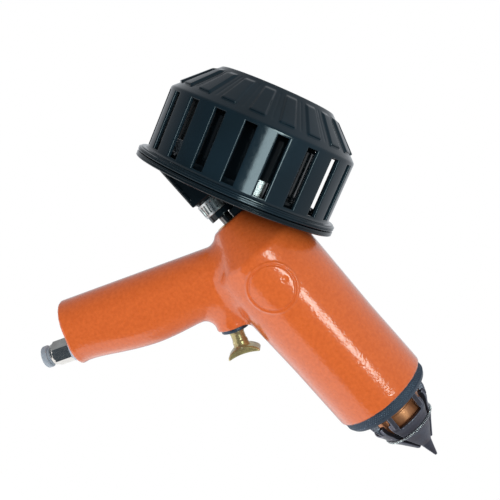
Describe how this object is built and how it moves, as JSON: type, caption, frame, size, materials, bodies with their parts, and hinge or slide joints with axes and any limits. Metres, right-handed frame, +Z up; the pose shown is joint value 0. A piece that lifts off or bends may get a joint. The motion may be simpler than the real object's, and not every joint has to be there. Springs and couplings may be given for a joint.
{
  "type": "capping machine",
  "caption": "Hand-held pneumatic capping tool: pistol body, tilted slotted drum hopper, central feed tube, sprung spreading jaws, brass push trigger, push-in air inlet.",
  "frame": {"origin": "on the barrel's axis, at the front end of the casting, where the clamp seat ends", "axes": "+X along the barrel towards the nose, +Z up with the handle below, +Y completes the right-handed frame (the pictured side is -Y)"},
  "size_m": [0.281, 0.128, 0.2406],
  "materials": {
    "orange_paint": "glossy enamel with a faint orange-peel texture on a cast alloy body",
    "bright_steel": "ground steel",
    "bronze": "machined bearing bronze",
    "chrome": "hard chrome, polished",
    "alloy": "turned aluminium alloy",
    "seal_rubber": "nitrile rubber",
    "spring_steel": "drawn spring wire",
    "black_oxide": "blued black oxide steel, satin",
    "dark_steel": "hardened dark steel, lightly polished",
    "copper_bronze": "copper-coloured bronze, turned",
    "trigger_brass": "cast brass, worn smooth",
    "nickel": "nickel plate, bright",
    "seal_ring": "pale blue-white thread sealing ring",
    "collar_plastic": "grey-blue acetal release collar",
    "black_plastic": "glossy black moulded plastic",
    "clamp_steel": "stainless worm-drive clamp steel, dull"
  },
  "bodies": {
    "frame": {"main_casting": "orange_paint", "cylinder_liner": "bright_steel", "rear_bush": "bronze", "feed_tube": "chrome", "front_gland": "alloy", "gland_seal": "seal_rubber", "stop_tube": "bright_steel", "return_spring": "spring_steel", "retaining_ring": "black_oxide", "nose_body": "black_oxide", "nose_sleeve": "copper_bronze", "jaw_pins": "bright_steel", "garter_spring": "spring_steel", "trigger_bush": "black_oxide", "valve_spring": "spring_steel", "inlet_fitting": "nickel", "inlet_seal": "seal_ring", "drum_base": "black_plastic", "drum_foot": "black_plastic", "base_screws": "bright_steel", "spindle": "bright_steel", "clamp_band": "clamp_steel", "clamp_housing": "clamp_steel"},
    "trigger_valve": {"trigger": "trigger_brass", "valve_spool": "alloy", "valve_seals": "seal_rubber"},
    "piston_assembly": {"piston": "alloy", "piston_rod": "chrome", "piston_seal": "seal_rubber"},
    "near_jaw": {"jaw_near": "dark_steel"},
    "far_jaw": {"jaw_far": "dark_steel"},
    "top_jaw": {"jaw_top": "dark_steel"},
    "bottom_jaw": {"jaw_bottom": "dark_steel"},
    "release_collar": {"inlet_collar": "collar_plastic"},
    "disc": {"feed_disc": "black_plastic", "disc_pushers": "alloy", "rotor_hub": "black_plastic"},
    "basket": {"drum_basket": "black_plastic"},
    "nut": {"thumb_nut": "black_plastic", "nut_clip": "spring_steel"},
    "worm_screw": {"clamp_screw": "clamp_steel"}
  },
  "joints": [
    {"name": "piston_slide", "type": "slide", "parent": "frame", "child": "piston_assembly", "axis": [1, 0, 0], "range_m": [0, 0.03], "stiffness_N_per_m": 800, "springref_m": -0.015, "deforming": ["return_spring", "garter_spring"]},
    {"name": "near_jaw_hinge", "type": "hinge", "parent": "frame", "child": "near_jaw", "pos_m": [0.0075, -0.01875, 0.00537], "axis": [0, -0.2756, -0.9613], "range_deg": [0, 16]},
    {"name": "far_jaw_hinge", "type": "hinge", "parent": "frame", "child": "far_jaw", "pos_m": [0.0075, 0.01875, -0.00537], "axis": [0, 0.2756, 0.9613], "range_deg": [0, 16]},
    {"name": "top_jaw_hinge", "type": "hinge", "parent": "frame", "child": "top_jaw", "pos_m": [0.0075, 0.00537, 0.01875], "axis": [0, -0.9613, 0.2756], "range_deg": [0, 16]},
    {"name": "bottom_jaw_hinge", "type": "hinge", "parent": "frame", "child": "bottom_jaw", "pos_m": [0.0075, -0.00537, -0.01875], "axis": [0, 0.9613, -0.2756], "range_deg": [0, 16]},
    {"name": "trigger_slide", "type": "slide", "parent": "frame", "child": "trigger_valve", "axis": [-0.9336, 0, 0.3584], "range_m": [0, 0.006], "stiffness_N_per_m": 1200, "springref_m": -0.004, "deforming": ["valve_spring"]},
    {"name": "collar_slide", "type": "slide", "parent": "frame", "child": "release_collar", "axis": [0.3584, 0, 0.9336], "range_m": [0, 0.0015], "stiffness_N_per_m": 1500, "springref_m": -0.0005},
    {"name": "disc_spin", "type": "hinge", "parent": "frame", "child": "disc", "pos_m": [-0.1536, 0, 0.0163], "axis": [-0.4289, 0, 0.9033], "continuous": true},
    {"name": "basket_lift", "type": "slide", "parent": "frame", "child": "basket", "axis": [-0.4289, 0, 0.9033], "range_m": [0, 0.06]},
    {"name": "nut_spin", "type": "hinge", "parent": "basket", "child": "nut", "pos_m": [-0.17762, 0, 0.06689], "axis": [-0.4289, 0, 0.9033], "continuous": true},
    {"name": "worm_screw_spin", "type": "hinge", "parent": "frame", "child": "worm_screw", "pos_m": [-0.1562, 0.013, 0], "axis": [0, 0, 1], "continuous": true}
  ],
  "couplings": [
    {"joint": "near_jaw_hinge", "follows": "piston_slide", "rad_per_m": 9.303},
    {"joint": "far_jaw_hinge", "follows": "piston_slide", "rad_per_m": 9.303},
    {"joint": "top_jaw_hinge", "follows": "piston_slide", "rad_per_m": 9.303},
    {"joint": "bottom_jaw_hinge", "follows": "piston_slide", "rad_per_m": 9.303}
  ]
}
